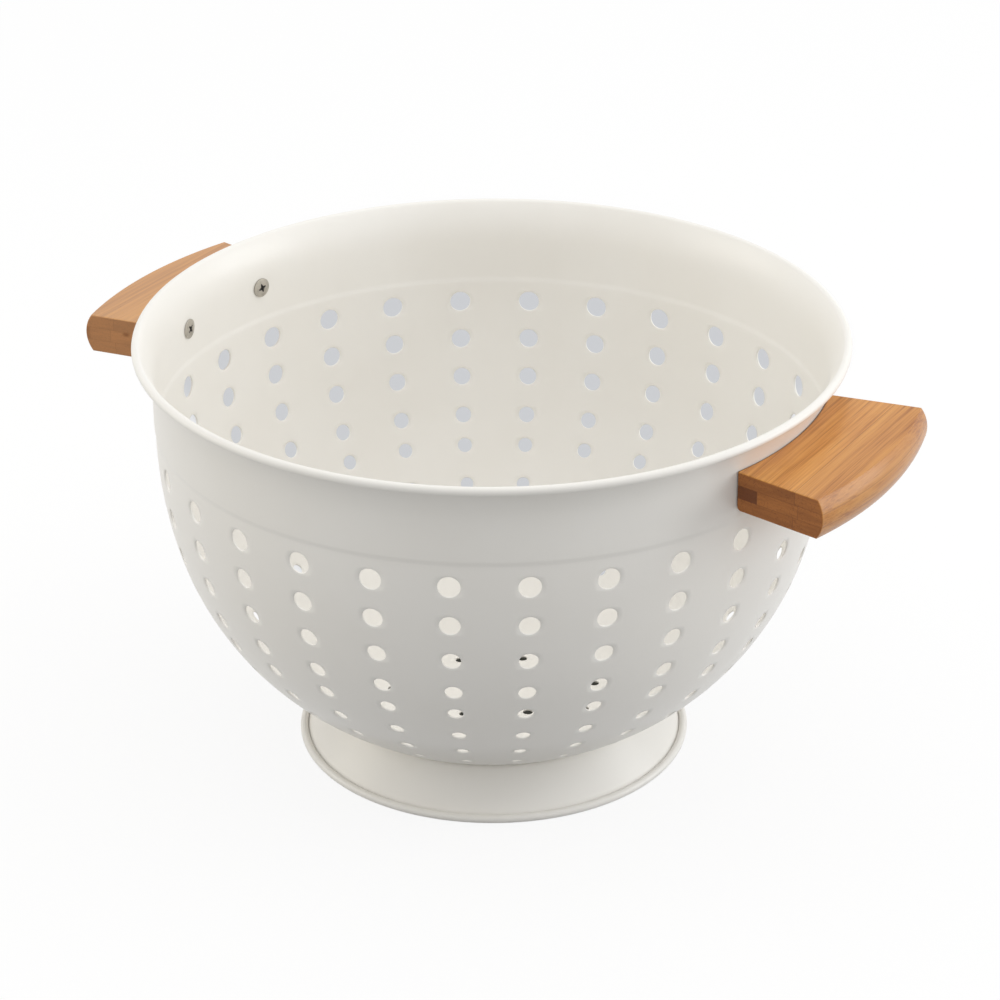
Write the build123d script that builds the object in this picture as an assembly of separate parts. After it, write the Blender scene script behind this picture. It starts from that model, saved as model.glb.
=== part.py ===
# A colander: a perforated steel bowl on a welded foot ring, with a laminated bamboo handle
# screwed to each side. Millimetres. The origin is at the centre of the resting face, +Z is up,
# and the handles lie nearly along X.
from build123d import *
import math
import os

# Sheet steel of the bowl and the foot ring
sheet_thickness = 0.8
cut_overrun = 5.0

# Bowl, measured on its outer face. Drops are taken from the highest line of the rim.
bowl_depth = 151.8
wall_radius = 125.7
upright_drop = 35.6
upper_curve_radius = 158.0
upper_curve_angle = 16.2
bottom_corner_radius = 14.0
bottom_flat_radius = 54.9

# Plain band above the step, and the flared mouth with its outward-rolled bead
step_drop = 32.5
step_rise = 1.8
step_depth = 0.5
flare_radius = 26.0
rim_overhang = 5.3
rim_bead_radius = 1.7

# Drain holes down the wall, in two punched groups of rows; facets keep the many holes light
column_count = 28
column_azimuth = -1.2
first_row_distance = 6.2
row_pitch = 16.0
group_pitch = 12.6
rows_in_group = (4, 4)
top_hole_diameter = 8.2
hole_diameter_loss = 0.6
hole_sides = 8
hole_corner_share = 1.05

# Drain holes in the flat bottom: one in the middle and two rings
bottom_hole_diameter = 3.8
inner_ring_radius = 24.5
inner_ring_count = 6
outer_ring_radius = 39.2
outer_ring_count = 12
bottom_ring_azimuth = 33.8

# Foot ring: a flange welded under the bowl, a flared wall and a rolled edge
foot_height = 16.0
foot_circle_radius = 73.9
foot_bead_radius = 1.6
foot_land_depth = 0.1
foot_slope = 48.0
foot_bend_radius = 2.5
foot_flange_width = 8.0
weld_gap = 0.1

# Handles: a board of three glued plies, cut to the curve of the band. Both sit a little to the
# rear of the X axis, by the lead in degrees.
handle_drop = 13.3
handle_lead = 1.0
ply_thickness = 5.0
ply_names = ("top", "core", "bottom")
handle_reach = 34.5
nose_bulge = 2.6
handle_half_width = 43.4
handle_end_flare = 10.5
heel_round_radius = 1.6
end_ease_radius = 0.5
seat_gap = 0.3

# Glued joints between the strips of each ply, measured in from the tip of the nose
top_seam_depth = 17.9
core_seam_depth = 16.4
core_strip_width = 17.3
bottom_seam_depth = 18.4

# Screws: domed cross-recessed head inside the bowl, shank through the wall into the handle
screw_rise = 9.3
screw_half_angle = 10.9
head_diameter = 7.6
head_height = 2.3
head_edge_height = 0.8
shank_diameter = 3.9
shank_length = 20.0
tip_length = 3.0
tip_diameter = 0.8
recess_span = 4.4
recess_width = 1.1
recess_depth = 1.4
shank_clearance = 0.3
pilot_clearance = 0.05
head_gap = 0.05

# Heights and radii that follow from the sizes above
rim_top = foot_height + bowl_depth
upright_height = rim_top - upright_drop
step_height = rim_top - step_drop
band_radius = wall_radius + step_depth
rim_circle_radius = band_radius + rim_overhang
rim_circle_height = rim_top - rim_bead_radius
handle_top = rim_top - handle_drop
handle_bottom = handle_top - ply_thickness * len(ply_names)
edge_radius = band_radius + handle_reach
nose_radius = edge_radius + nose_bulge
screw_height = handle_bottom + screw_rise

# Azimuth of each handle, and name and azimuth of each screw; front is the side of -Y
right_azimuth = handle_lead
left_azimuth = 180 - handle_lead
screw_places = (
    ("right_front_screw", right_azimuth - screw_half_angle),
    ("right_rear_screw", right_azimuth + screw_half_angle),
    ("left_rear_screw", left_azimuth - screw_half_angle),
    ("left_front_screw", left_azimuth + screw_half_angle),
)


def polar(center, radius, angle):
    """Point on a circle in the section plane, at an angle in degrees."""
    turn = math.radians(angle)
    return (center[0] + radius * math.cos(turn), center[1] + radius * math.sin(turn))


def arc(center, radius, start, end):
    """Arc in the section plane from one angle to another, in degrees."""
    middle = (start + end) / 2
    return ThreePointArc(*(polar(center, radius, angle) for angle in (start, middle, end)))


def sheet_section(face_edges):
    """Section of a sheet, from a function that gives the edges of either of its faces."""
    front = face_edges(0)
    back = face_edges(sheet_thickness)
    ends = [Line(front[0] @ 0, back[0] @ 0), Line(front[-1] @ 1, back[-1] @ 1)]
    return make_face(front + back + ends)


def turned(section):
    """A full turn of a section about the vertical axis."""
    return revolve(Plane.XZ * section, Axis.Z, 360)


def wall_curves():
    """The wall's curves: the upper, lower and corner centres, the lower radius and its end angle.

    The lower radius is the one that meets the upper curve and the corner without a kink.
    """
    upper_center = (wall_radius - upper_curve_radius, upright_height)
    knee = polar(upper_center, upper_curve_radius, -upper_curve_angle)
    corner_center = (bottom_flat_radius, foot_height + bottom_corner_radius)
    reach = (knee[0] - corner_center[0], knee[1] - corner_center[1])
    outward = polar((0, 0), 1, -upper_curve_angle)
    along = reach[0] * outward[0] + reach[1] * outward[1]
    spread = reach[0] ** 2 + reach[1] ** 2 - bottom_corner_radius**2
    lower_radius = spread / (2 * (along - bottom_corner_radius))
    lower_center = polar(knee, lower_radius, 180 - upper_curve_angle)
    slope = math.atan2(lower_center[1] - corner_center[1], corner_center[0] - lower_center[0])
    return upper_center, lower_center, corner_center, lower_radius, math.degrees(slope)


def flare_curve():
    """Centre of the mouth's flare, and the angle through which it turns up to the bead."""
    span = flare_radius + sheet_thickness - rim_bead_radius
    turn = math.acos((flare_radius - rim_overhang) / span)
    center = (band_radius + flare_radius, rim_circle_height - span * math.sin(turn))
    return center, math.degrees(turn)


def bowl_edges(inset):
    """One face of the bowl's sheet, from the axis up to the rim."""
    upper_center, lower_center, corner_center, lower_radius, lower_angle = wall_curves()
    flare_center, flare_angle = flare_curve()
    upright = wall_radius - inset
    band = band_radius - inset
    step_foot = step_height - step_rise / 2
    step_head = step_height + step_rise / 2
    return [
        Line((0, foot_height + inset), (bottom_flat_radius, foot_height + inset)),
        arc(corner_center, bottom_corner_radius - inset, -90, -lower_angle),
        arc(lower_center, lower_radius - inset, -lower_angle, -upper_curve_angle),
        arc(upper_center, upper_curve_radius - inset, -upper_curve_angle, 0),
        Line((upright, upright_height), (upright, step_foot)),
        Line((upright, step_foot), (band, step_head)),
        Line((band, step_head), (band, flare_center[1])),
        arc(flare_center, flare_radius + inset, 180, 180 - flare_angle),
    ]


def wall_station(distance):
    """Point of the outer face a distance down from where it is upright, and its outward angle."""
    upper_center, lower_center, _, lower_radius, _ = wall_curves()
    upper_length = upper_curve_radius * math.radians(upper_curve_angle)
    if distance < upper_length:
        angle = -math.degrees(distance / upper_curve_radius)
        return polar(upper_center, upper_curve_radius, angle), angle
    angle = -upper_curve_angle - math.degrees((distance - upper_length) / lower_radius)
    return polar(lower_center, lower_radius, angle), angle


def row_distances():
    """Distance of each row of holes down the wall."""
    distances = []
    start = first_row_distance
    for count in rows_in_group:
        distances += [start + row_pitch * row for row in range(count)]
        start = distances[-1] + group_pitch
    return distances


def punch(diameter):
    """A many-sided punch as large in area as a round hole of this diameter."""
    outline = RegularPolygon(diameter / 2 * hole_corner_share, hole_sides)
    return extrude(outline, cut_overrun, both=True)


def wall_punches():
    """The punches of every hole in the wall, smaller row by row towards the bottom."""
    punches = []
    for row, distance in enumerate(row_distances()):
        (radius, height), tilt = wall_station(distance)
        tool = Pos(radius, 0, height) * Rot(0, 90 - tilt, 0) * punch(top_hole_diameter - hole_diameter_loss * row)
        for column in range(column_count):
            punches.append(Rot(0, 0, column_azimuth + 360 * column / column_count) * tool)
    return punches


def bottom_punches():
    """The punches of the middle hole and the two rings of holes in the flat bottom."""
    tool = Pos(0, 0, foot_height) * punch(bottom_hole_diameter)
    punches = [tool]
    for radius, count in ((inner_ring_radius, inner_ring_count), (outer_ring_radius, outer_ring_count)):
        for index in range(count):
            azimuth = bottom_ring_azimuth + 360 * index / count
            punches.append(Rot(0, 0, azimuth) * Pos(radius, 0, 0) * tool)
    return punches


def screw_bore(azimuth, diameter, start, end):
    """A round bore on a screw's axis, from one radius out to another."""
    bore = Rot(0, 90, 0) * Cylinder(diameter / 2, end - start)
    return Rot(0, 0, azimuth) * Pos((start + end) / 2, 0, screw_height) * bore


def bowl():
    """The pressed bowl with its rolled rim, drain holes and the bores of the handle screws."""
    bead = Pos(rim_circle_radius, rim_circle_height) * Circle(rim_bead_radius)
    shell = turned(sheet_section(bowl_edges) + bead)
    bore = shank_diameter + 2 * shank_clearance
    bores = [
        screw_bore(azimuth, bore, band_radius - cut_overrun, band_radius + cut_overrun)
        for name, azimuth in screw_places
    ]
    return shell - (wall_punches() + bottom_punches() + bores)


def foot_edges(inset):
    """One face of the foot's sheet, from the flange under the bowl down to the rolled edge."""
    flange_height = foot_height - weld_gap
    bead_center = (foot_circle_radius, foot_bead_radius - foot_land_depth)
    slope = math.radians(foot_slope)
    bend_height = flange_height - foot_bend_radius
    offset = foot_bead_radius + foot_bend_radius - sheet_thickness
    run = (offset + (bend_height - bead_center[1]) * math.cos(slope)) / math.sin(slope)
    bend_center = (foot_circle_radius - run, bend_height)
    bend = foot_bend_radius - inset
    flange_start = bend_center[0] - foot_flange_width
    lower_end = polar(bead_center, foot_bead_radius - sheet_thickness + inset, 270 - foot_slope)
    return [
        Line((flange_start, flange_height - inset), (bend_center[0], flange_height - inset)),
        arc(bend_center, bend, 90, 90 - foot_slope),
        Line(polar(bend_center, bend, 90 - foot_slope), lower_end),
    ]


def foot_ring():
    """The flared foot; its rolled edge is pressed flat along the line that it stands on."""
    bead = Pos(foot_circle_radius, foot_bead_radius - foot_land_depth) * Circle(foot_bead_radius)
    below = Pos(foot_circle_radius, -cut_overrun / 2) * Rectangle(cut_overrun, cut_overrun)
    return turned(sheet_section(foot_edges) + bead - below)


def handle_seat_radius():
    """Radius of the handle's hollow side, which clears the band and the start of the flare."""
    climb = max(handle_top - flare_curve()[0][1], 0)
    return band_radius + flare_radius - math.sqrt(flare_radius**2 - climb**2) + seat_gap


def handle_board():
    """A handle's board lying along +X, with its two screw bores, still in one piece."""
    seat = handle_seat_radius()
    nose_height = (handle_top + handle_bottom) / 2
    heel_center = (seat + heel_round_radius, handle_bottom + heel_round_radius)
    nose = ThreePointArc((edge_radius, handle_bottom), (nose_radius, nose_height), (edge_radius, handle_top))
    section = make_face(
        [
            Line((seat, handle_top), (seat, heel_center[1])),
            arc(heel_center, heel_round_radius, 180, 270),
            Line((heel_center[0], handle_bottom), (edge_radius, handle_bottom)),
            nose,
            Line((edge_radius, handle_top), (seat, handle_top)),
        ]
    )
    corner_reach = math.sqrt(edge_radius**2 - handle_half_width**2)
    spread = math.tan(math.radians(handle_end_flare))
    near = handle_half_width - corner_reach * spread
    far = near + nose_radius * spread
    outline = Polyline((0, -near), (nose_radius, -far), (nose_radius, far), (0, near), close=True)
    board = turned(section) & Pos(0, 0, handle_bottom) * extrude(make_face(outline), handle_top - handle_bottom)
    ends = board.faces().filter_by(GeomType.PLANE) - board.faces().filter_by(Plane.XY)
    board = fillet(ends.edges(), end_ease_radius)
    pilot = shank_diameter + 2 * pilot_clearance
    tip = screw_seat_radius() + shank_length + head_gap
    for azimuth in (-screw_half_angle, screw_half_angle):
        board -= screw_bore(azimuth, pilot, seat - cut_overrun, tip)
    return board


def slab(inner, outer, low, high):
    """A block across the handle, between two distances from the axis and two heights."""
    block = Box(outer - inner, 2 * nose_radius, high - low)
    return Pos((inner + outer) / 2, 0, (low + high) / 2) * block


def handle_plies():
    """Name and strips of each ply of a handle lying along +X, from the top down."""
    board = handle_board()
    seam_depths = {
        "top": (top_seam_depth,),
        "core": (core_seam_depth, core_seam_depth + core_strip_width),
        "bottom": (bottom_seam_depth,),
    }
    plies = []
    for index, name in enumerate(ply_names):
        high = handle_top - ply_thickness * index
        seams = [nose_radius + cut_overrun] + [nose_radius - depth for depth in seam_depths[name]] + [0]
        strips = []
        for outer, inner in zip(seams, seams[1:]):
            strips += (board & slab(inner, outer, high - ply_thickness, high)).solids()
        plies.append((name, Compound(strips)))
    return plies


def screw_seat_radius():
    """Radius at which the flat of a screw head touches the hollow of the wall."""
    inner_radius = band_radius - sheet_thickness
    return math.sqrt(inner_radius**2 - (head_diameter / 2) ** 2) - head_gap


def screw():
    """A screw along +Z, with the flat of its head at the origin and a cross recess in its dome."""
    head = head_diameter / 2
    shank = shank_diameter / 2
    dome_rise = head_height - head_edge_height
    dome_radius = (head**2 + dome_rise**2) / (2 * dome_rise)
    dome_center = (0, dome_radius - head_height)
    shoulder = -90 + math.degrees(math.asin(head / dome_radius))
    section = make_face(
        [
            arc(dome_center, dome_radius, -90, shoulder),
            Line((head, -head_edge_height), (head, 0)),
            Line((head, 0), (shank, 0)),
            Line((shank, 0), (shank, shank_length - tip_length)),
            Line((shank, shank_length - tip_length), (tip_diameter / 2, shank_length)),
            Line((tip_diameter / 2, shank_length), (0, shank_length)),
            Line((0, shank_length), (0, -head_height)),
        ]
    )
    slot = Pos(0, 0, -head_height) * Box(recess_span, recess_width, 2 * recess_depth)
    return turned(section) - slot - Rot(0, 0, 90) * slot


def build():
    """Write every piece in its own file."""
    os.makedirs("parts", exist_ok=True)
    export_step(bowl(), "parts/bowl.step")
    export_step(foot_ring(), "parts/foot_ring.step")
    for name, ply in handle_plies():
        export_step(Rot(0, 0, right_azimuth) * ply, f"parts/right_handle_{name}_ply.step")
        export_step(Rot(0, 0, left_azimuth) * ply, f"parts/left_handle_{name}_ply.step")
    for name, azimuth in screw_places:
        placed = Rot(0, 0, azimuth) * Pos(screw_seat_radius(), 0, screw_height) * Rot(0, 90, 0) * screw()
        export_step(placed, f"parts/{name}.step")


build()
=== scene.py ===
import bmesh
import bpy
import math
from mathutils import Matrix, Vector


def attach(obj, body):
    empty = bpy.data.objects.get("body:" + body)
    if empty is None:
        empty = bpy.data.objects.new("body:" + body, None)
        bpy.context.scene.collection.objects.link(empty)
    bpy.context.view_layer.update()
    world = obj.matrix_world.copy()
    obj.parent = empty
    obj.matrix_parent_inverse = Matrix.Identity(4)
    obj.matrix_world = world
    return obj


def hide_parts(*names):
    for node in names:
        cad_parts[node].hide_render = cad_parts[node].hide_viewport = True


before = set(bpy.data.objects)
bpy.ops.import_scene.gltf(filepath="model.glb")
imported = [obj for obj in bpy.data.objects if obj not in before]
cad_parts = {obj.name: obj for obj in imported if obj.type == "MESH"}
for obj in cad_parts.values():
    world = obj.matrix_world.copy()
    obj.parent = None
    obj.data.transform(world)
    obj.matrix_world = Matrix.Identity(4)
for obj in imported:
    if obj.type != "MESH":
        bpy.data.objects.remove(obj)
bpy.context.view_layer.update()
print("frame loaded:", len(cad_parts), "nodes")

mm = 0.001
full = 2 * math.pi
weld = 2e-6  # points closer than this are one


class Wire:
    # a node's output that can be used in sums, and the one way that nodes are added
    def __init__(self, tree, socket):
        self.tree = tree
        self.socket = socket

    @staticmethod
    def node(tree, kind, settings=None, sockets=None, out=0):
        made = tree.nodes.new(kind)
        for name, value in (settings or {}).items():
            if name == "stops":
                ramp = made.color_ramp
                ramp.elements.remove(ramp.elements[-1])
                ramp.elements[0].position = value[0][0]
                ramp.elements[0].color = (*value[0][1], 1)
                for place, colour in value[1:]:
                    ramp.elements.new(place).color = (*colour, 1)
            else:
                setattr(made, name, value)
        for name, value in (sockets or {}).items():
            if isinstance(value, Wire):
                tree.links.new(value.socket, made.inputs[name])
            else:
                made.inputs[name].default_value = value
        return Wire(tree, made.outputs[out]) if len(made.outputs) else made

    def maths(self, operation, *values):
        kind = "ShaderNodeMath"
        return Wire.node(self.tree, kind, {"operation": operation}, dict(enumerate(values)))

    def __add__(self, other):
        return self.maths("ADD", self, other)

    def __radd__(self, other):
        return self.maths("ADD", other, self)

    def __sub__(self, other):
        return self.maths("SUBTRACT", self, other)

    def __rsub__(self, other):
        return self.maths("SUBTRACT", other, self)

    def __mul__(self, other):
        return self.maths("MULTIPLY", self, other)

    def __rmul__(self, other):
        return self.maths("MULTIPLY", other, self)

    def __truediv__(self, other):
        return self.maths("DIVIDE", self, other)

    def __rtruediv__(self, other):
        return self.maths("DIVIDE", other, self)

    def __gt__(self, other):
        return self.maths("GREATER_THAN", self, other)

    def __abs__(self):
        return self.maths("ABSOLUTE", self)

    def atMost(self, other):
        return self.maths("MINIMUM", self, other)

    def atLeast(self, other):
        return self.maths("MAXIMUM", self, other)

    # 0 below the first value, 1 above the second, smooth between
    def step(self, low, high):
        settings = {"interpolation_type": "SMOOTHSTEP"}
        sockets = {"Value": self, "From Min": low, "From Max": high}
        return Wire.node(self.tree, "ShaderNodeMapRange", settings, sockets)

    # the three parts of a vector
    def parts(self):
        split = Wire.node(self.tree, "ShaderNodeSeparateXYZ", {}, {0: self}).socket.node.outputs
        return [Wire(self.tree, output) for output in split]

    def stretched(self, scale, shift=(0, 0, 0)):
        sockets = {"Vector": self, "Location": shift, "Scale": scale}
        return Wire.node(self.tree, "ShaderNodeMapping", {}, sockets)

    def noise(self, scale, detail=2.0, roughness=0.5):
        sockets = {"Vector": self, "Scale": scale, "Detail": detail, "Roughness": roughness}
        return Wire.node(self.tree, "ShaderNodeTexNoise", {}, sockets)

    def ramp(self, *stops):
        return Wire.node(self.tree, "ShaderNodeValToRGB", {"stops": stops}, {"Fac": self})

    # this colour times another
    def tinted(self, other):
        settings = {"data_type": "RGBA", "blend_type": "MULTIPLY"}
        sockets = {0: 1.0, 6: self, 7: (*other, 1)}
        return Wire.node(self.tree, "ShaderNodeMix", settings, sockets, 2)

    # the colour a where this is 0, b where it is 1
    def mix(self, a, b):
        pick = lambda c: c if isinstance(c, Wire) else (*c, 1)
        sockets = {0: self, 6: pick(a), 7: pick(b)}
        return Wire.node(self.tree, "ShaderNodeMix", {"data_type": "RGBA"}, sockets, 2)


def newMaterial(name):
    material = bpy.data.materials.new(name)
    material.use_nodes = True
    material.node_tree.nodes.clear()
    tree = material.node_tree
    return material, tree, Wire.node(tree, "ShaderNodeTexCoord", out="Object")


def joinParts(tree, x, y, z):
    return Wire.node(tree, "ShaderNodeCombineXYZ", {}, {0: x, 1: y, 2: z})


# how far a point is from the middle, from two measures at right angles
def spanOf(a, b):
    return a.maths("SQRT", a * a + b * b)


# the surface: bumps as heights with their depth in metres, and the shader's sockets
def dress(tree, bumps=(), **sockets):
    sockets = {name.replace("_", " "): value for name, value in sockets.items()}
    normal = None
    for height, distance in bumps:
        bump = {"Height": height, "Distance": distance, "Strength": 1.0}
        if normal:
            bump["Normal"] = normal
        normal = Wire.node(tree, "ShaderNodeBump", {}, bump)
    if normal:
        sockets["Normal"] = normal
    shader = Wire.node(tree, "ShaderNodeBsdfPrincipled", {}, sockets)
    Wire.node(tree, "ShaderNodeOutputMaterial", {}, {"Surface": shader})


# enamel on the bowl and the foot
enamel = {
    "colour": (0.878, 0.855, 0.806),
    "paler": (0.894, 0.874, 0.830),
    "speck": (0.52, 0.46, 0.36),
    "speckShare": 0.10,
    "roughness": 0.40,
    "roughnessSpread": 0.10,
    "coat": 0.22,
    "coatRoughness": 0.22,
    "specular": 0.42,
    # depth of the orange peel, and how fine its grain, its waves, the clouds and the specks are
    "peel": 0.000014,
    "peelScale": 900.0,
    "waveScale": 160.0,
    "cloudScale": 22.0,
    "speckScale": 260.0,
}


def enamelMaterial():
    material, tree, place = newMaterial("creamEnamel")
    cloud = place.noise(enamel["cloudScale"], 3.0)
    fine = place.noise(enamel["peelScale"], 2.0)
    wave = place.noise(enamel["waveScale"], 2.0)
    moved = place.stretched((1, 1, 1), shift=(0.3, 0.1, 0.7))
    specks = moved.noise(enamel["speckScale"], 4.0, 0.7).step(0.70, 0.80) * enamel["speckShare"]
    spread = enamel["roughnessSpread"]
    dress(
        tree,
        bumps=((fine, enamel["peel"]), (wave, enamel["peel"] * 2.0)),
        Base_Color=specks.mix(
            cloud.step(0.3, 0.7).mix(enamel["colour"], enamel["paler"]), enamel["speck"]
        ),
        Roughness=enamel["roughness"] + (cloud - 0.5) * spread + (fine - 0.5) * spread,
        Coat_Weight=enamel["coat"],
        Coat_Roughness=enamel["coatRoughness"],
        Specular_IOR_Level=enamel["specular"],
    )
    return material


# bamboo of the handle plies, sizes in metres; the grain runs along y, and the ends that face
# along y are cut across
bamboo = {
    "pale": (0.74, 0.362, 0.098),
    "amber": (0.60, 0.262, 0.066),
    "brown": (0.38, 0.140, 0.032),
    "vein": (0.24, 0.080, 0.022),
    "veinShare": 0.38,
    "flameShare": 0.22,
    "cut": (0.50, 0.187, 0.050),
    "cutDark": (0.17, 0.054, 0.017),
    "glue": (0.16, 0.055, 0.016),
    "glueWidth": 0.00015,
    # heights of the glue between the plies
    "layers": (0.1445, 0.1495),
    # degrees that each board is turned to the rear
    "lead": 1.0,
    # radius of the seat on the band, and how far the painted shade beside it reaches
    "seat": 0.12663,
    "seatShade": 0.0007,
    # distance of the glued joints from the axis, and how dark each strip is from the bowl outwards,
    # along the grain and where it is cut across
    "joints": {"top": (0.1454,), "core": (0.1296, 0.1469), "bottom": (0.1449,)},
    "tones": {"top": (0.0, 0.20), "core": (0.45, 0.06, 0.16), "bottom": (0.14, 0.20)},
    "cutTones": {"top": (0.32, 0.20), "core": (0.92, 0.06, 0.16), "bottom": (0.26, 0.22)},
    # where in the pattern each ply begins
    "start": {"top": (0.0, 0.0, 0.0), "core": (3.1, 0.7, 1.9), "bottom": (5.3, 2.9, 4.4)},
    # how fine the grain is across and along the cane, its detail, roughness and share
    "grain": (
        (130, 4, 2.0, 0.5, 0.22),
        (520, 7, 3.0, 0.6, 0.38),
        (1500, 22, 3.0, 0.6, 0.28),
        (3800, 70, 2.0, 0.5, 0.12),
    ),
    "sway": 0.0016,
    # how far the pattern moves, across and along, from strip to strip and from side to side
    "stripShift": (0.37, 0.83),
    "sideShift": (0.29, 0.51),
    # the left board is paler and plainer: painted sheen, and paler, plainer cane
    "leftSheenAndPaleCane": (0.66, 0.400, 0.215),
    "leftSheenAndPaleShare": 0.45,
    # in the core ply's left end, a dark node: distance from the axis, height, and half sizes
    "node": (0.1402, 0.1486),
    "nodeSize": (0.0024, 0.0015),
    "nodeShare": 0.62,
    # where that end turns dark at its outer edge
    "darkEdge": 0.1557,
    "edgeSoft": 0.0008,
    "edgeShare": 0.34,
    # the rounded outer edge, found by where its surface faces, is darker and has more coat
    "noseShade": 0.26,
    "noseCoat": 0.24,
    "coat": 0.06,
    "coatRoughness": 0.24,
    "roughness": 0.34,
    "specular": 0.22,
    "relief": 0.00008,
}


def bambooMaterial(ply):
    material, tree, place = newMaterial("bamboo" + ply.capitalize())
    x, y, z = place.parts()
    lead = math.radians(bamboo["lead"])
    reach = abs(x) * math.cos(lead) + y * math.sin(lead)
    run = y * math.cos(lead) - abs(x) * math.sin(lead)
    side = x > 0
    joints, tones, cutTones = (bamboo[name][ply] for name in ("joints", "tones", "cutTones"))
    tone = cutTone = strip = glue = reach * 0.0
    tone, cutTone = tone + tones[0], cutTone + cutTones[0]
    thin = bamboo["glueWidth"]
    for k, joint in enumerate(joints):
        past = reach > joint
        tone = tone + past * (tones[k + 1] - tones[k])
        cutTone = cutTone + past * (cutTones[k + 1] - cutTones[k])
        strip = strip + past
        glue = glue + (1 - abs(reach - joint).step(thin * 0.4, thin * 1.6))
    # each strip, and each side of the colander, is a different piece of cane, and sways a little
    sway = (joinParts(tree, reach * 14, run * 9, z * 14).noise(1.0, 1.0) - 0.5) * bamboo["sway"]
    stripAcross, stripAlong = bamboo["stripShift"]
    sideAcross, sideAlong = bamboo["sideShift"]
    cane = joinParts(
        tree,
        reach + strip * stripAcross + sway,
        run + side * sideAlong + strip * stripAlong,
        z + side * sideAcross + sway,
    )
    start = bamboo["start"][ply]
    broad, streak, fibre, hair = (
        cane.stretched((across, along, across), shift=start).noise(1.0, detail, rough)
        for across, along, detail, rough, _ in bamboo["grain"]
    )
    shares = [row[-1] for row in bamboo["grain"]]
    grain = broad * shares[0] + streak * shares[1] + fibre * shares[2] + hair * shares[3]
    vein = cane.stretched((900, 12, 900), shift=(7, 1, 3)).noise(1.0, 2.0).step(0.60, 0.70)
    flame = joinParts(tree, reach * 70, run * 30, z * 70).noise(1.0, 3.0, 0.6).step(0.52, 0.78)
    body = grain.ramp((0.40, bamboo["brown"]), (0.475, bamboo["amber"]), (0.58, bamboo["pale"]))
    body = (vein * bamboo["veinShare"]).mix(body, bamboo["vein"])
    body = (flame * bamboo["flameShare"]).mix(body, bamboo["brown"])
    body = tone.mix(body, bamboo["brown"])
    # cut ends show the vessels as dots in faint bands, and drink more oil
    normal = Wire.node(tree, "ShaderNodeNewGeometry", out="Normal")
    end = abs(normal.parts()[1]).step(0.70, 0.93)
    dots = cane.stretched((1700, 240, 1700), shift=(2, 5, 1)).noise(1.0, 2.0).step(0.52, 0.70)
    bands = cane.stretched((60, 60, 520), shift=(4, 2, 6)).noise(1.0, 3.0, 0.6).step(0.35, 0.65)
    cut = (bands * 0.30).mix(bamboo["cut"], bamboo["cutDark"])
    cut = (dots * 0.30 + cutTone).mix(cut, bamboo["cutDark"])
    body = end.mix(body, cut)
    # painted sheen and paler cane over the left board, weaker on its cut ends
    body = ((1 - side) * bamboo["leftSheenAndPaleShare"] * (1 - end * 0.3)).mix(body, bamboo["leftSheenAndPaleCane"])
    if ply == "core":
        nodeReach = (reach - bamboo["node"][0]) / bamboo["nodeSize"][0]
        nodeHeight = (z - bamboo["node"][1]) / bamboo["nodeSize"][1]
        spot = 1 - spanOf(nodeReach, nodeHeight).step(0.1, 1.0)
        edge, soft = bamboo["darkEdge"], bamboo["edgeSoft"]
        outer = reach.step(edge - soft, edge + soft)
        marks = spot * bamboo["nodeShare"] + outer * bamboo["edgeShare"]
        body = ((1 - side) * end * marks).mix(body, bamboo["cutDark"])
    nose = abs(normal.parts()[0]).step(0.22, 0.60) * (1 - end)
    body = (nose * bamboo["noseShade"]).mix(body, bamboo["brown"])
    # painted shade in the joint to the bowl, and dark lines along the glue
    for layer in bamboo["layers"]:
        glue = glue + (1 - abs(z - layer).step(thin * 0.5, thin * 2.0)) * 0.7
    seatShadePainted = 1 - (spanOf(reach, run) - bamboo["seat"]).step(0.0, bamboo["seatShade"])
    line = seatShadePainted * 0.75 + glue * (side * 0.24 + 0.16)
    # the glue's colour paints both the glue lines and the shade at the seat
    body = line.atMost(0.9).mix(body, bamboo["glue"])
    relief = streak * 0.3 + fibre * 0.5 + hair * 0.2 - vein * 0.2 - dots * end * 0.3 - glue * 0.5
    dress(
        tree,
        bumps=((relief, bamboo["relief"]),),
        Base_Color=body,
        Roughness=bamboo["roughness"] + (fibre - 0.5) * 0.30 + end * 0.16,
        Coat_Weight=nose * bamboo["noseCoat"] + bamboo["coat"],
        Coat_Roughness=bamboo["coatRoughness"],
        Specular_IOR_Level=bamboo["specular"],
    )
    return material


# plated steel of the screws; their "recess" attribute rises to 1 down in the cross, where it paints
# shade: near black and not metallic
nickel = {
    "colour": (0.55, 0.52, 0.47),
    "dull": (0.34, 0.31, 0.27),
    "recessShadeColour": (0.022, 0.019, 0.017),
    "roughness": 0.34,
    "cloudScale": 420.0,
    "grainScale": 5200.0,
    "relief": 0.000006,
}


def nickelMaterial():
    material, tree, place = newMaterial("nickelPlate")
    dull = place.noise(nickel["cloudScale"], 3.0).step(0.42, 0.72)
    grain = place.noise(nickel["grainScale"], 2.0)
    # painted shade down in the cross, darker towards its floor
    paintedRecessShade = Wire.node(tree, "ShaderNodeAttribute", {"attribute_name": "recess"}, out="Fac")
    dress(
        tree,
        bumps=((grain, nickel["relief"]),),
        Base_Color=paintedRecessShade.mix((dull * 0.5).mix(nickel["colour"], nickel["dull"]), nickel["recessShadeColour"]),
        Roughness=nickel["roughness"] + dull * 0.14 + (grain - 0.5) * 0.10 + paintedRecessShade * 0.30,
        Metallic=1 - paintedRecessShade,
    )
    return material


enamelCoat = enamelMaterial()
nickelPlate = nickelMaterial()
bambooOf = {ply: bambooMaterial(ply) for ply in bamboo["joints"]}
print("materials made")


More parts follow.
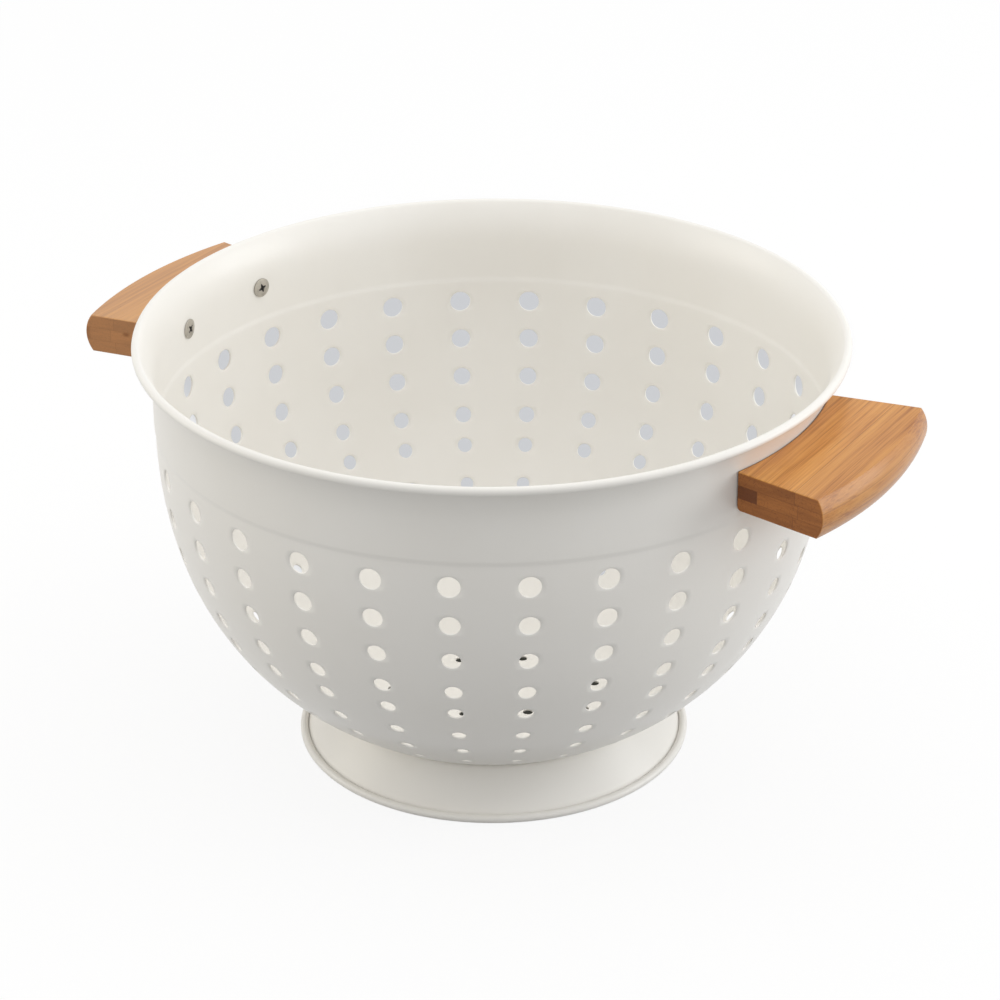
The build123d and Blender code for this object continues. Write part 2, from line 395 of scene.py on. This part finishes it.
class SheetMesh:
    # faces that share their points where they meet
    def __init__(self):
        self.points = []
        self.found = {}
        self.faces = []

    def point(self, place):
        key = tuple(round(c * 1e7) for c in place)
        if key not in self.found:
            self.found[key] = len(self.points)
            self.points.append(place)
        return self.found[key]

    # rows of points, joined row to row; a closed row runs round to its start
    def skin(self, rows, closed=False):
        rows = [[self.point(place) for place in row] for row in rows]
        for upper, lower in zip(rows, rows[1:]):
            count = len(upper)
            for k in range(count if closed else count - 1):
                n = (k + 1) % count
                face = [upper[k], lower[k], lower[n], upper[n]]
                face = [v for i, v in enumerate(face) if v != face[i - 1]]
                if len(face) > 2:
                    self.faces.append(face)

    def mesh(self, name):
        made = bpy.data.meshes.new(name)
        made.from_pydata(self.points, [], self.faces)
        made.update()
        return made


def turned(radius, height, azimuth):
    return (radius * mm * math.cos(azimuth), radius * mm * math.sin(azimuth), height * mm)


def onCircle(centre, radius, angle):
    turn = math.radians(angle)
    return (centre[0] + radius * math.cos(turn), centre[1] + radius * math.sin(turn))


def arcPoints(centre, radius, start, end, count):
    return [onCircle(centre, radius, start + (end - start) * k / count) for k in range(count + 1)]


def placed(name, data):
    made = bpy.data.objects.new(name, data)
    bpy.context.scene.collection.objects.link(made)
    return made


# the plain mesh that an object's modifiers give
def plainMesh(holder):
    bpy.context.view_layer.update()
    seen = holder.evaluated_get(bpy.context.evaluated_depsgraph_get())
    return bpy.data.meshes.new_from_object(seen)


# an empty node tree from mesh to mesh, and a function that gives its named inputs
def meshTree(name, **inputs):
    tree = bpy.data.node_groups.new(name, "GeometryNodeTree")
    face = tree.interface
    face.new_socket("Geometry", in_out="INPUT", socket_type="NodeSocketGeometry")
    for label, kind in inputs.items():
        face.new_socket(label, in_out="INPUT", socket_type="NodeSocket" + kind)
    face.new_socket("Geometry", in_out="OUTPUT", socket_type="NodeSocketGeometry")
    entry = tree.nodes.new("NodeGroupInput")
    return tree, lambda label: Wire(tree, entry.outputs[label])


# the node tree that sets copies of a piece round the axis and welds them
def turnArrayTree():
    tree, given = meshTree(
        "turnArray", Copies="Int", Step="Float", Start="Float", Weld="Float", Finish="Material"
    )
    index = Wire.node(tree, "GeometryNodeInputIndex")
    turn = joinParts(tree, 0.0, 0.0, index * given("Step") + given("Start"))
    points = Wire.node(tree, "GeometryNodePoints", {}, {"Count": given("Copies")})
    sockets = {"Points": points, "Instance": given("Geometry"), "Rotation": turn}
    copies = Wire.node(tree, "GeometryNodeInstanceOnPoints", {}, sockets)
    real = Wire.node(tree, "GeometryNodeRealizeInstances", {}, {"Geometry": copies})
    sockets = {"Geometry": real, "Distance": given("Weld")}
    welded = Wire.node(tree, "GeometryNodeMergeByDistance", {}, sockets)
    smooth = Wire.node(tree, "GeometryNodeSetShadeSmooth", {}, {"Geometry": welded})
    sockets = {"Geometry": smooth, "Material": given("Finish")}
    done = Wire.node(tree, "GeometryNodeSetMaterial", {}, sockets)
    Wire.node(tree, "NodeGroupOutput", {}, {"Geometry": done})
    return tree


# runs a node tree on a mesh and gives the plain mesh that comes out
def grown(tree, mesh, **values):
    holder = placed("holder", mesh)
    modifier = holder.modifiers.new("grow", "NODES")
    modifier.node_group = tree
    for item in tree.interface.items_tree:
        if item.in_out == "INPUT" and item.name in values:
            modifier[item.identifier] = values[item.name]
    result = plainMesh(holder)
    holder.modifiers.remove(modifier)
    bpy.data.objects.remove(holder)
    return result


# copies of a mesh all the way round, in enamel
def fullTurn(mesh, copies, start=0.0):
    values = {"Copies": copies, "Step": full / copies, "Start": start, "Weld": weld}
    return grown(turnArray, mesh, Finish=enamelCoat, **values)


# one piece from several meshes, welded, with its open edges counted
def piece(name, meshes, material, nodes):
    work = bmesh.new()
    for mesh in meshes:
        work.from_mesh(mesh)
    bmesh.ops.remove_doubles(work, verts=work.verts, dist=weld)
    openEdges = sum(1 for edge in work.edges if len(edge.link_faces) != 2)
    mesh = bpy.data.meshes.new(name)
    work.to_mesh(mesh)
    triangles = sum(len(face.verts) - 2 for face in work.faces)
    work.free()
    mesh.materials.clear()
    mesh.materials.append(material)
    for polygon in mesh.polygons:
        polygon.use_smooth = True
        polygon.material_index = 0
    made = placed(name, mesh)
    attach(made, "root")
    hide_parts(*nodes)
    print(name, "triangles", triangles, "open edges", openEdges)
    return made


turnArray = turnArrayTree()

# bowl, in millimetres and degrees
bowl = {
    "sheet": 0.8,
    "bottom": 16.0,
    "depth": 151.8,
    "wallRadius": 125.7,
    "uprightDrop": 35.6,
    "upperCurve": 158.0,
    "upperAngle": 16.2,
    "cornerRadius": 14.0,
    "flatRadius": 54.9,
    "stepDrop": 32.5,
    "stepRise": 2.8,
    "stepDepth": 0.5,
    "flareRadius": 26.0,
    "overhang": 5.3,
    "beadRadius": 1.7,
    "curlEnd": -158.0,
    "columns": 28,
    "columnStart": -1.2,
    # distances of the rows down the wall, and the plain sheet above the first and below the last
    "rows": (6.2, 22.2, 38.2, 54.2, 66.8, 82.8, 98.8, 114.8),
    "rowMargins": (7.0, 8.0),
    "holeTop": 8.2,
    "holeLoss": 0.6,
    "lip": 0.14,
    "smallHole": 3.8,
    "smallStart": 33.8,
    "outerRing": 39.2,
    "innerRing": 24.5,
    "ringMargins": (7.4, 7.3),
    # the flat bottom: how many like wedges, and radii of its rings of points outside and inside
    # the holes
    "wedges": 6,
    "outerSteps": (52.6, 49.8),
    "innerSteps": (12.0, 7.0, 3.6),
    # how far the rings of points round a hole lie towards the edge of its panel
    "panelSteps": (1, 0.52, 0.2, 0),
    "panelPoints": 6,
}
rimTop = bowl["bottom"] + bowl["depth"]
upright = rimTop - bowl["uprightDrop"]
stepHeight = rimTop - bowl["stepDrop"]
bandRadius = bowl["wallRadius"] + bowl["stepDepth"]
beadCentre = (bandRadius + bowl["overhang"], rimTop - bowl["beadRadius"])


def wallCurves():
    upper = (bowl["wallRadius"] - bowl["upperCurve"], upright)
    knee = onCircle(upper, bowl["upperCurve"], -bowl["upperAngle"])
    corner = (bowl["flatRadius"], bowl["bottom"] + bowl["cornerRadius"])
    reach = (knee[0] - corner[0], knee[1] - corner[1])
    outward = onCircle((0, 0), 1, -bowl["upperAngle"])
    along = reach[0] * outward[0] + reach[1] * outward[1]
    spread = reach[0] ** 2 + reach[1] ** 2 - bowl["cornerRadius"] ** 2
    radius = spread / (2 * (along - bowl["cornerRadius"]))
    lower = onCircle(knee, radius, 180 - bowl["upperAngle"])
    slope = math.degrees(math.atan2(lower[1] - corner[1], corner[0] - lower[0]))
    return upper, lower, corner, radius, slope


upperCentre, lowerCentre, cornerCentre, lowerRadius, lowerSlope = wallCurves()
upperLength = bowl["upperCurve"] * math.radians(bowl["upperAngle"])
lowerLength = upperLength + lowerRadius * math.radians(lowerSlope - bowl["upperAngle"])
flatStart = lowerLength + bowl["cornerRadius"] * math.radians(90 - lowerSlope)


# radius and height of the sheet a distance down the wall, and a depth in from its outer face
def wallPoint(distance, depth=0.0):
    if distance < 0:
        return (bowl["wallRadius"] - depth, upright - distance)
    if distance < upperLength:
        angle = -math.degrees(distance / bowl["upperCurve"])
        return onCircle(upperCentre, bowl["upperCurve"] - depth, angle)
    if distance < lowerLength:
        angle = -bowl["upperAngle"] - math.degrees((distance - upperLength) / lowerRadius)
        return onCircle(lowerCentre, lowerRadius - depth, angle)
    if distance < flatStart:
        angle = -lowerSlope - math.degrees((distance - lowerLength) / bowl["cornerRadius"])
        return onCircle(cornerCentre, bowl["cornerRadius"] - depth, angle)
    return (bowl["flatRadius"] - (distance - flatStart), bowl["bottom"] + depth)


# a panel of the sheet with a round, softly edged hole punched through it
def holedPanel(sheet, left, right, top, bottom, azimuth, distance, radius, across):
    down = bowl["panelPoints"]
    loop = [(right, bottom + (top - bottom) * k / down) for k in range(down)]
    loop += [(right + (left - right) * k / across, top) for k in range(across)]
    loop += [(left, top + (bottom - top) * k / down) for k in range(down)]
    loop += [(left + (right - left) * k / across, bottom) for k in range(across)]

    def edge(k, size):
        angle = (k - down / 2) * full / len(loop)
        lower = distance - size * math.sin(angle)
        return (azimuth + size * math.cos(angle) / wallPoint(lower)[0], lower)

    def ring(share, size, depth):
        found = []
        for k, outside in enumerate(loop):
            inside = edge(k, size)
            turn, lower = (a + (b - a) * share for a, b in zip(inside, outside))
            found.append(turned(*wallPoint(lower, depth), turn))
        return found

    lip, thick = bowl["lip"], bowl["sheet"]
    rows = [ring(share, radius + lip, 0) for share in bowl["panelSteps"]]
    rows += [ring(0, radius, lip), ring(0, radius, thick - lip)]
    rows += [ring(share, radius + lip, thick) for share in bowl["panelSteps"][::-1]]
    sheet.skin([row[::-1] for row in rows], closed=True)


# where the flare's arc has its middle, and the degrees that it turns before the bead
def flare():
    span = bowl["flareRadius"] + bowl["sheet"] - bowl["beadRadius"]
    turn = math.acos((bowl["flareRadius"] - bowl["overhang"]) / span)
    centre = (bandRadius + bowl["flareRadius"], beadCentre[1] - span * math.sin(turn))
    return centre, math.degrees(turn)


def bowlSector():
    sheet = SheetMesh()
    half = math.pi / bowl["columns"]
    across = bowl["panelPoints"]
    azimuths = [-half + 2 * half * k / across for k in range(across + 1)]
    rows, (above, below) = bowl["rows"], bowl["rowMargins"]
    bounds = [rows[0] - above] + [(a + b) / 2 for a, b in zip(rows, rows[1:])] + [rows[-1] + below]
    for number, distance in enumerate(rows):
        radius = (bowl["holeTop"] - bowl["holeLoss"] * number) / 2
        top, bottom = bounds[number], bounds[number + 1]
        holedPanel(sheet, -half, half, top, bottom, 0, distance, radius, across)
    thick = bowl["sheet"]
    # plain wall below the holes, and the corner into the flat bottom
    down = [bounds[-1] + (lowerLength - bounds[-1]) * k / 5 for k in range(5)]
    down += [lowerLength + (flatStart - lowerLength) * k / 5 for k in range(6)]
    outside = [wallPoint(d) for d in down]
    inside = [wallPoint(d, thick) for d in down][::-1]
    # step, band, flare and the open curl of the rim, up the inside and down the outside
    flareCentre, flareTurn = flare()
    low, high = stepHeight - bowl["stepRise"] / 2, stepHeight + bowl["stepRise"] / 2
    start = wallPoint(bounds[0])[1]

    def climb(depth):
        found = [(bowl["wallRadius"] - depth, start)]
        for k in range(7):
            out = bowl["stepDepth"] * ((1 - math.cos(math.pi * k / 6)) / 2)
            found.append((bowl["wallRadius"] + out - depth, low + (high - low) * k / 6))
        band = [high + (flareCentre[1] - high) * k / 4 for k in (1, 2, 3)]
        found += [(bandRadius - depth, z) for z in band]
        radius = bowl["flareRadius"] + depth
        return found + arcPoints(flareCentre, radius, 180, 180 - flareTurn, 9)

    curl = arcPoints(beadCentre, bowl["beadRadius"], 180 - flareTurn, bowl["curlEnd"], 24)
    back = arcPoints(beadCentre, bowl["beadRadius"] - thick, bowl["curlEnd"], 180 - flareTurn, 14)
    rim = climb(thick) + curl[1:] + back[:-1] + climb(0)[::-1]
    for line in (outside, inside, rim):
        sheet.skin([[turned(r, z, a) for a in azimuths] for r, z in line])
    return sheet.mesh("bowlSector")


# a wedge of the flat bottom: two holes of the outer ring, one of the inner,
# and its part of the edge of the middle hole
def bottomWedge():
    sheet = SheetMesh()
    points = bowl["columns"] * bowl["panelPoints"]
    step, whole = full / points, points // bowl["wedges"]
    half = whole // 2
    middle = math.radians(bowl["smallStart"])
    first = middle - half // 2 * step
    shift = (first - math.radians(bowl["columnStart"])) % step
    grid = [first + k * step for k in range(whole + 1)]
    wallGrid = [a - shift for a in grid]
    thick, lip, hole = bowl["sheet"], bowl["lip"], bowl["smallHole"] / 2
    at = lambda radius: flatStart + bowl["flatRadius"] - radius
    outer, inner = bowl["outerRing"], bowl["innerRing"]
    beyond, within = bowl["ringMargins"]
    edges = (outer + beyond, (outer + inner) / 2, inner - within)

    def hollow(turn, steps, top, bottom, radius):
        wide = steps // 2 * step
        holedPanel(
            sheet, turn - wide, turn + wide, at(top), at(bottom), turn, at(radius), hole, steps
        )

    hollow(middle, half, edges[0], edges[1], outer)
    hollow(middle + half * step, half, edges[0], edges[1], outer)
    hollow(middle, whole, edges[1], edges[2], inner)
    below, above = bowl["bottom"], bowl["bottom"] + thick

    def apron(height):
        rows = [[turned(bowl["flatRadius"], height, a) for a in wallGrid]]
        radii = (*bowl["outerSteps"], edges[0])
        return rows + [[turned(r, height, a) for a in grid] for r in radii]

    sheet.skin(apron(below))
    sheet.skin(apron(above)[::-1])
    radii = (edges[2], *bowl["innerSteps"], hole + lip)
    line = [(r, below) for r in radii] + [(hole, below + lip), (hole, above - lip)]
    line += [(r, above) for r in radii[::-1]]
    sheet.skin([[turned(r, z, a) for a in grid] for r, z in line])
    return sheet.mesh("bottomWedge")


wall = fullTurn(bowlSector(), bowl["columns"], math.radians(bowl["columnStart"]))
flat = fullTurn(bottomWedge(), bowl["wedges"])
piece("bowlSheet", [wall, flat], enamelCoat, ["bowl"])
print("bowl made")

# foot ring, in millimetres and degrees
foot = {
    "height": 16.0,
    "gap": 0.1,
    "circle": 73.9,
    "beadRadius": 1.6,
    "land": 0.1,
    "slope": 48.0,
    "bend": 2.5,
    "flange": 8.0,
    "curlTurn": 292.0,
    "copies": 24,
}


def footSector():
    sheet = SheetMesh()
    thick = bowl["sheet"]
    flangeHeight = foot["height"] - foot["gap"]
    centre = (foot["circle"], foot["beadRadius"] - foot["land"])
    slope = math.radians(foot["slope"])
    bendHeight = flangeHeight - foot["bend"]
    offset = foot["beadRadius"] + foot["bend"] - thick
    run = (offset + (bendHeight - centre[1]) * math.cos(slope)) / math.sin(slope)
    bendCentre = (foot["circle"] - run, bendHeight)
    start = bendCentre[0] - foot["flange"]
    first = 270 - foot["slope"]

    def face(depth):
        level = flangeHeight - depth
        line = [(start, level), ((start + bendCentre[0]) / 2, level)]
        line += arcPoints(bendCentre, foot["bend"] - depth, 90, 90 - foot["slope"], 6)
        low = onCircle(centre, foot["beadRadius"] - thick + depth, first)
        high = line[-1]
        for k in (1, 2, 3):
            line.append(tuple(a + (b - a) * k / 4 for a, b in zip(high, low)))
        return line

    curlIn = arcPoints(centre, foot["beadRadius"] - thick, first, first + foot["curlTurn"], 16)
    curlOut = arcPoints(centre, foot["beadRadius"], first + foot["curlTurn"], first, 24)
    line = face(0) + curlIn + curlOut + face(thick)[::-1]
    line = [(r, max(z, 0.0)) for r, z in line]
    line.append(line[0])
    width = full / foot["copies"]
    azimuths = [width * k / 7 for k in range(8)]
    sheet.skin([[turned(r, z, a) for a in azimuths] for r, z in line])
    return sheet.mesh("footSector")


ring = fullTurn(footSector(), foot["copies"])
piece("footSheet", [ring], enamelCoat, ["foot_ring"])
print("foot made")

# screws, in millimetres and degrees
screw = {
    "height": 148.8,
    "halfAngle": 10.9,
    "lead": 1.0,
    "seat": 125.29,
    "headRadius": 3.8,
    "headHeight": 0.95,
    "edgeHeight": 0.6,
    "bevel": 0.12,
    "shankRadius": 1.9,
    "threadDepth": 0.42,
    "pitch": 1.4,
    "ridgeSharp": 3.2,
    "plainNeck": 1.0,
    "length": 20.0,
    "tip": 3.0,
    # the cross: its reach, width, hub, depth, where its cutter starts above the head, how much the
    # wings narrow on the way down, and how dark the painted shade is at its mouth
    "recess": 4.5,
    "recessWidth": 0.7,
    "recessHub": 1.5,
    "recessDepth": 1.0,
    "recessAbove": 0.6,
    "recessTaper": (1.12, 0.4),
    "recessMouth": 0.8,
    "spinSeed": 12,
    "sharpAngle": 35,
}


# radius of the ball that the head's dome is part of
def domeRadius():
    rise = screw["headHeight"] - screw["edgeHeight"]
    return (screw["headRadius"] ** 2 + rise**2) / (2 * rise)


# one screw along +X, with the flat of its head at the origin and its dome towards -X
def screwMesh():
    sheet = SheetMesh()
    head, bevel, dome = screw["headRadius"], screw["bevel"], domeRadius()
    root = screw["shankRadius"] - screw["threadDepth"]
    widest = math.asin(head / dome)
    around, steps = 48, 90

    # a ring of points round the screw's axis
    def hoop(x, radii):
        turns = [full * k / around for k in range(around)]
        return [(x * mm, r * mm * math.cos(a), r * mm * math.sin(a)) for r, a in zip(radii, turns)]

    line = []
    for k in range(13):
        angle = widest * k / 12
        line.append((-screw["headHeight"] + dome * (1 - math.cos(angle)), dome * math.sin(angle)))
    line += [(-screw["edgeHeight"] + bevel, head), (-bevel, head), (0, head - bevel), (0, root)]
    rows = [hoop(x, [r] * around) for x, r in line]
    # the thread: a ridge that winds along the shank, narrowing to the point
    for k in range(1, steps + 1):
        x = screw["length"] * k / steps
        taper = min(1.0, (screw["length"] - x) / screw["tip"])
        radii = []
        for j in range(around):
            phase = (x / screw["pitch"] - j / around) % 1
            ridge = max(0.0, 1 - abs(phase - 0.5) * screw["ridgeSharp"])
            ridge = ridge if x > screw["plainNeck"] else 0
            radii.append(max((root + screw["threadDepth"] * ridge) * taper, 0.01))
        rows.append(hoop(x, radii))
    sheet.skin(rows, closed=True)
    made = sheet.mesh("screwBody")
    work = bmesh.new()
    work.from_mesh(made)
    bmesh.ops.holes_fill(work, edges=[e for e in work.edges if e.is_boundary], sides=0)
    bmesh.ops.recalc_face_normals(work, faces=work.faces)
    work.to_mesh(made)
    work.free()
    return made


# the cross that the driver takes: four wings that narrow outwards and downwards
def cutRecess(mesh):
    cutter = bmesh.new()
    arm, wide, hub = screw["recess"] / 2, screw["recessWidth"] / 2, screw["recessHub"] / 2
    crown = -screw["headHeight"]
    ends = (crown - screw["recessAbove"], crown + screw["recessDepth"])
    levels = []
    for x, share in zip(ends, screw["recessTaper"]):
        loop = []
        for quarter in range(4):
            turn = Matrix.Rotation(quarter * math.pi / 2, 3, "X")
            for y, z in ((arm, -wide), (arm, wide), (hub, hub)):
                loop.append(cutter.verts.new(turn @ Vector((x, y * share, z * share)) * mm))
        levels.append(loop)
    top, low = levels
    cutter.faces.new(top[::-1])
    cutter.faces.new(low)
    for k in range(12):
        cutter.faces.new((top[k - 1], top[k], low[k], low[k - 1]))
    bmesh.ops.recalc_face_normals(cutter, faces=cutter.faces)
    tool = bpy.data.meshes.new("recessTool")
    cutter.to_mesh(tool)
    cutter.free()
    toolObject = placed("recessTool", tool)
    holder = placed("recessHolder", mesh)
    modifier = holder.modifiers.new("cut", "BOOLEAN")
    modifier.operation = "DIFFERENCE"
    modifier.solver = "EXACT"
    modifier.use_self = True
    modifier.object = toolObject
    result = plainMesh(holder)
    bpy.data.objects.remove(holder)
    bpy.data.objects.remove(toolObject)
    # mark the faces that lie below the dome, within the cross, for painted shade that grows darker
    # towards its floor
    dome = domeRadius() * mm
    centre = Vector((dome - screw["headHeight"] * mm, 0, 0))
    recessShadeMark = result.attributes.new("recess", "FLOAT", "CORNER")
    for polygon in result.polygons:
        spot = polygon.center
        inCross = math.hypot(spot.y, spot.z) < arm * mm and spot.x < screw["recessDepth"] * mm
        if inCross and dome - (spot - centre).length > 0.03 * mm:
            for corner in polygon.loop_indices:
                point = result.vertices[result.loops[corner].vertex_index].co
                below = (dome - (point - centre).length) / mm
                recessShadeMark.data[corner].value = min(1.0, screw["recessMouth"] + below)
    return result


# the node tree that sets two screws in each handle, each driven home to its own angle
def screwSetTree():
    inputs = {"Radius": "Float", "Height": "Float", "Half angle": "Float", "Lead": "Float"}
    tree, given = meshTree("screwSet", **inputs, Seed="Int", Finish="Material")
    index = Wire.node(tree, "GeometryNodeInputIndex")
    side = index.maths("FLOOR", index / 2)
    which = index.maths("MODULO", index, 2) * 2 - 1
    azimuth = side * math.pi + which * given("Half angle") + (1 - side * 2) * given("Lead")
    x = azimuth.maths("COSINE", azimuth) * given("Radius")
    y = azimuth.maths("SINE", azimuth) * given("Radius")
    place = joinParts(tree, x, y, given("Height"))
    points = Wire.node(tree, "GeometryNodePoints", {}, {"Count": 4, "Position": place})
    turn = joinParts(tree, 0.0, 0.0, azimuth)
    sockets = {"Points": points, "Instance": given("Geometry"), "Rotation": turn}
    copies = Wire.node(tree, "GeometryNodeInstanceOnPoints", {}, sockets)
    settings, sockets = {"data_type": "FLOAT"}, {2: 0.0, 3: math.pi / 2, "Seed": given("Seed")}
    chance = Wire.node(tree, "FunctionNodeRandomValue", settings, sockets, 1)
    spin = joinParts(tree, chance, 0.0, 0.0)
    sockets = {"Instances": copies, "Rotation": spin, "Local Space": True}
    driven = Wire.node(tree, "GeometryNodeRotateInstances", {}, sockets)
    real = Wire.node(tree, "GeometryNodeRealizeInstances", {}, {"Geometry": driven})
    sockets = {"Geometry": real, "Material": given("Finish")}
    done = Wire.node(tree, "GeometryNodeSetMaterial", {}, sockets)
    Wire.node(tree, "NodeGroupOutput", {}, {"Geometry": done})
    return tree


values = {
    "Radius": screw["seat"] * mm,
    "Height": screw["height"] * mm,
    "Half angle": math.radians(screw["halfAngle"]),
    "Lead": math.radians(screw["lead"]),
    "Seed": screw["spinSeed"],
    "Finish": nickelPlate,
}
screws = grown(screwSetTree(), cutRecess(screwMesh()), **values)
screwNodes = [f"{side}_{end}_screw" for side in ("right", "left") for end in ("front", "rear")]
screwPiece = piece("handleScrews", [screws], nickelPlate, screwNodes)
screwPiece.data.set_sharp_from_angle(angle=math.radians(screw["sharpAngle"]))
print("screws made")

# handle plies keep their CAD shape and get bamboo
for side in ("left", "right"):
    for ply in bamboo["joints"]:
        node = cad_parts[f"{side}_handle_{ply}_ply"]
        if not node.material_slots:
            node.data.materials.append(bambooOf[ply])
        for holder in node.material_slots:
            holder.material = bambooOf[ply]
print("handles dressed")

# floor, light and camera, in metres, watts and degrees
studio = {
    "paper": (0.96, 0.96, 0.96),
    "paperReach": 8.0,
    # what the paper sends onto the bowl, and how much of what is seen of it is plain glow
    "bounce": (0.38, 0.38, 0.38),
    "plainShare": 0.86,
    # grey tones painted on the paper for the photograph's view, not cast by a lamp: a wide
    # wedge beyond the bowl, plain to see from behind, and a dark round one under the foot
    "shade": (0.606, 0.618, 0.641),
    "deepShade": (0.05, 0.05, 0.042),
    "deepRadius": (0.062, 0.0755),
    # the wedge's direction, then distance and half width near the foot and at the far end,
    # how softly it fades, and how much softer with the distance past its far end
    "shadeAim": 121.4,
    "shadeNear": (0.080, 0.050),
    "shadeFar": (0.335, 0.148),
    "shadeFade": 0.024,
    "shadeSpread": 0.25,
    "world": 0.66,
    # name, place, size, power, colour; each looks at the axis, at this height
    "aimHeight": 0.09,
    "lamps": (
        ("topLamp", (0.15, 0.30, 1.60), 3.2, 13.5, (1.0, 1.0, 1.0)),
        ("leftLamp", (-1.28, -0.69, 0.44), 1.1, 5.3, (1.0, 0.950, 0.83)),
        ("rightLamp", (1.25, 0.78, 0.42), 1.0, 7.8, (0.985, 0.995, 1.0)),
        ("frontLamp", (0.25, -1.25, 0.80), 1.0, 0.5, (1.0, 1.0, 1.0)),
    ),
    "camera": (0.62703, -1.02239, 0.69565),
    "turn": (63.4909, 0.2306, 31.2728),
    "lens": 127.173,
    "sensor": 36.0,
    "farthest": 50.0,
}


# 1 where the camera sees a thing, straight or in a reflection, 0 where it only sends light on
def seenRays(tree):
    path = Wire.node(tree, "ShaderNodeLightPath").socket.node.outputs
    kinds = ("Camera", "Glossy", "Transmission")
    camera, glossy, through = (Wire(tree, path[f"Is {kind} Ray"]) for kind in kinds)
    return camera.atLeast(glossy).atLeast(through)


def floorMaterial():
    material, tree, place = newMaterial("paperFloor")
    seen = seenRays(tree)
    x, y = place.parts()[:2]
    aim = math.radians(studio["shadeAim"])
    along = x * math.cos(aim) + y * math.sin(aim)
    aside = y * math.cos(aim) - x * math.sin(aim)
    near, far = studio["shadeNear"], studio["shadeFar"]
    length, widening = far[0] - near[0], far[1] - near[1]
    share = Wire.node(tree, "ShaderNodeClamp", {}, {0: (along - near[0]) / length})
    past = along - near[0] - share * length
    beyond = spanOf(past, aside) - near[1] - share * widening
    fade = past.atLeast(0.0) * studio["shadeSpread"] + studio["shadeFade"]
    shade = beyond.step(0.002, fade).mix(studio["shade"], (1, 1, 1))
    tone = spanOf(along, aside).step(*studio["deepRadius"]).mix(studio["deepShade"], shade)
    paper = seen.mix(studio["bounce"], tone.tinted(studio["paper"]))
    plain = Wire.node(tree, "ShaderNodeBsdfDiffuse", {}, {"Color": paper})
    glow = Wire.node(tree, "ShaderNodeEmission", {}, {"Color": tone, "Strength": 1.0})
    sockets = {0: seen * studio["plainShare"], 1: plain, 2: glow}
    both = Wire.node(tree, "ShaderNodeMixShader", {}, sockets)
    Wire.node(tree, "ShaderNodeOutputMaterial", {}, {"Surface": both})
    return material


sheet = SheetMesh()
reach = studio["paperReach"]
sheet.skin([[(x, y, 0.0) for x in (reach, 0.0, -reach)] for y in (-reach, 0.0, reach)])
floor = placed("paperFloor", sheet.mesh("paperFloor"))
floor.data.materials.append(floorMaterial())

world = bpy.data.worlds.new("studioSky")
bpy.context.scene.world = world
world.use_nodes = True
world.node_tree.nodes.clear()
skyTree = world.node_tree
strength = studio["world"] + seenRays(skyTree) * (1 - studio["world"])
sky = Wire.node(skyTree, "ShaderNodeBackground", {}, {"Color": (1, 1, 1, 1), "Strength": strength})
Wire.node(skyTree, "ShaderNodeOutputWorld", {}, {"Surface": sky})

aim = Vector((0, 0, studio["aimHeight"]))
for name, place, size, power, colour in studio["lamps"]:
    lamp = bpy.data.lights.new(name, "AREA")
    lamp.shape = "DISK"
    lamp.size = size
    lamp.energy = power
    lamp.color = colour
    holder = placed(name, lamp)
    holder.location = place
    holder.rotation_euler = (aim - Vector(place)).to_track_quat("-Z", "Y").to_euler()

view = bpy.data.cameras.new("photoView")
view.lens = studio["lens"]
view.sensor_width = studio["sensor"]
view.clip_end = studio["farthest"]
eye = placed("photoView", view)
eye.location = studio["camera"]
eye.rotation_euler = [math.radians(a) for a in studio["turn"]]
bpy.context.scene.camera = eye
bpy.context.scene.view_settings.view_transform = "Standard"
print("studio made")
